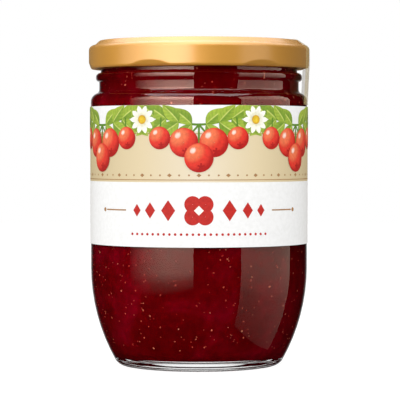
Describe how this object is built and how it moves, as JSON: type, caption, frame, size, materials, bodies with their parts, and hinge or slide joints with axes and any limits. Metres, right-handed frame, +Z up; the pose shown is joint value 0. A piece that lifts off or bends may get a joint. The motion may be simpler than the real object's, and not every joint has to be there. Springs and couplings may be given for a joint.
{
  "type": "jam jar",
  "caption": "Clear glass jar of dark red fruit jam, rounded in at the base, with a gold twist-off lid, a wrapped paper label and a clear seal strip over the lid's edge.",
  "frame": {"origin": "middle of the base, on the surface that the jar stands on", "axes": "+Z up along the jar's axis, -Y towards the front of the label, +X towards the seal strip"},
  "size_m": [0.0853, 0.085, 0.1254],
  "materials": {
    "glass": "clear polished glass with a faint cool tint",
    "jam": "wet dark red jam with pale seeds",
    "lid": "gold lacquered tinplate, satin",
    "label": "coated white paper with a beige band and a plain fruit garland",
    "seal_film": "clear, faintly yellow film"
  },
  "bodies": {
    "root": {"glass_jar": "glass", "jam": "jam", "lid": "lid", "label": "label", "seal_strip": "seal_film"}
  },
  "joints": []
}
